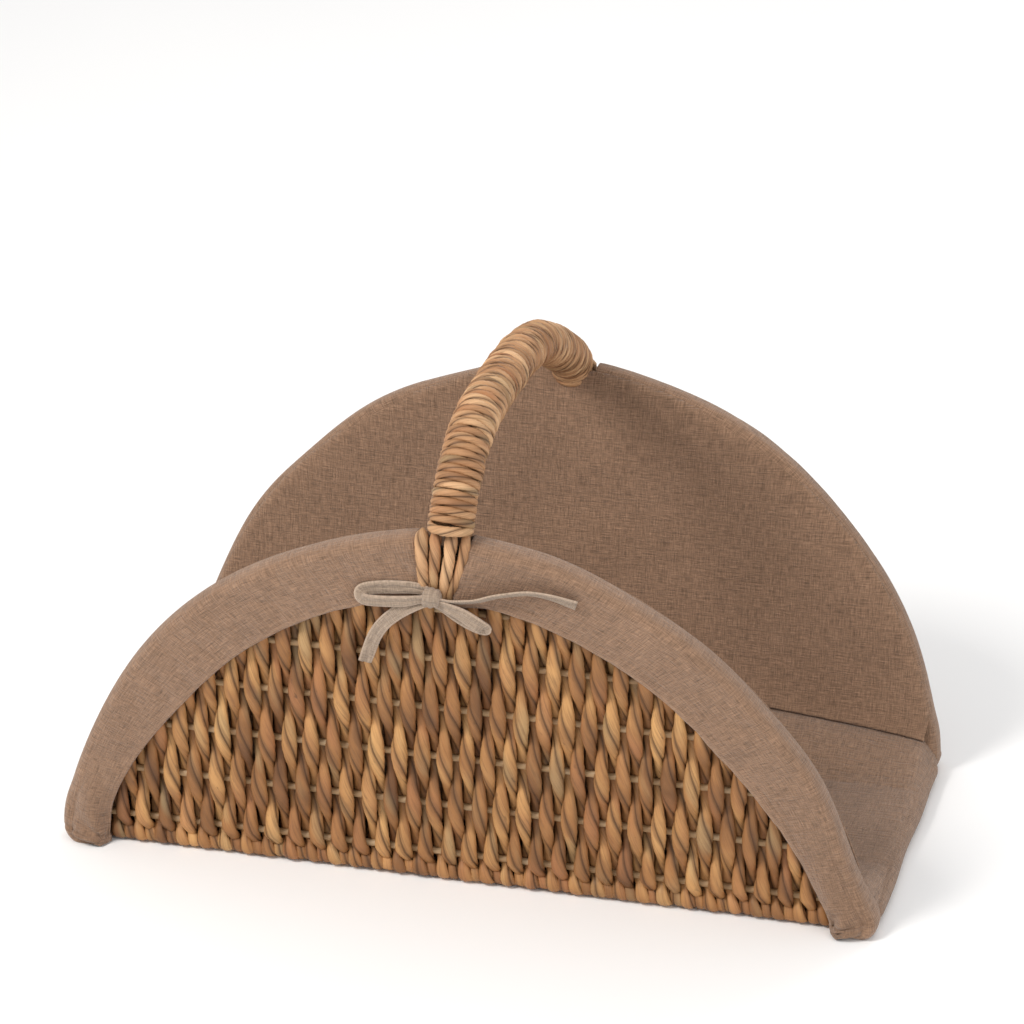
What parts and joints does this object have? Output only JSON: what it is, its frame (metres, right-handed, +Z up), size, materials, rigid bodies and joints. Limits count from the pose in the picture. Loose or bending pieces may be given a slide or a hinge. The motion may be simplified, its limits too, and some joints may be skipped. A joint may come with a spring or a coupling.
{
  "type": "wicker log basket",
  "caption": "Open-ended wicker log basket with leaning half-moon walls, a wrapped arch handle and a tied linen liner.",
  "frame": {"origin": "centre of the footprint on the floor", "axes": "+X along the basket's length, -Y the front wall, +Z up"},
  "size_m": [0.6, 0.3548, 0.3736],
  "materials": {
    "frame_wire": "dark lacquered wire",
    "cane_rods": "pale peeled cane, satin",
    "woven_strands": "twisted dried water-hyacinth stalk, satin",
    "handle_cord": "tightly wound twisted dried stalk, satin",
    "liner_linen": "natural unbleached linen, matt",
    "tie_tape": "folded linen tape with pale stitching"
  },
  "bodies": {
    "root": {"front_hoop": "frame_wire", "back_hoop": "frame_wire", "front_sill": "frame_wire", "back_sill": "frame_wire", "left_end_rail": "frame_wire", "right_end_rail": "frame_wire", "front_wall_rods": "cane_rods", "base_rods": "cane_rods", "back_wall_rods": "cane_rods", "front_wall_weave": "woven_strands", "base_weave": "woven_strands", "back_wall_weave": "woven_strands", "handle_core": "frame_wire", "handle_padding": "handle_cord", "handle_wrap": "handle_cord", "front_foot_strands": "handle_cord", "back_foot_strands": "handle_cord", "liner_front_panel": "liner_linen", "liner_base_panel": "liner_linen", "liner_back_panel": "liner_linen", "front_cuff_left": "liner_linen", "front_cuff_right": "liner_linen", "back_cuff_left": "liner_linen", "back_cuff_right": "liner_linen", "left_end_cuff": "liner_linen", "right_end_cuff": "liner_linen", "front_tie_knot": "tie_tape", "front_tie_loops": "tie_tape", "front_tie_tails": "tie_tape", "back_tie_knot": "tie_tape", "back_tie_loops": "tie_tape", "back_tie_tails": "tie_tape"}
  },
  "joints": []
}
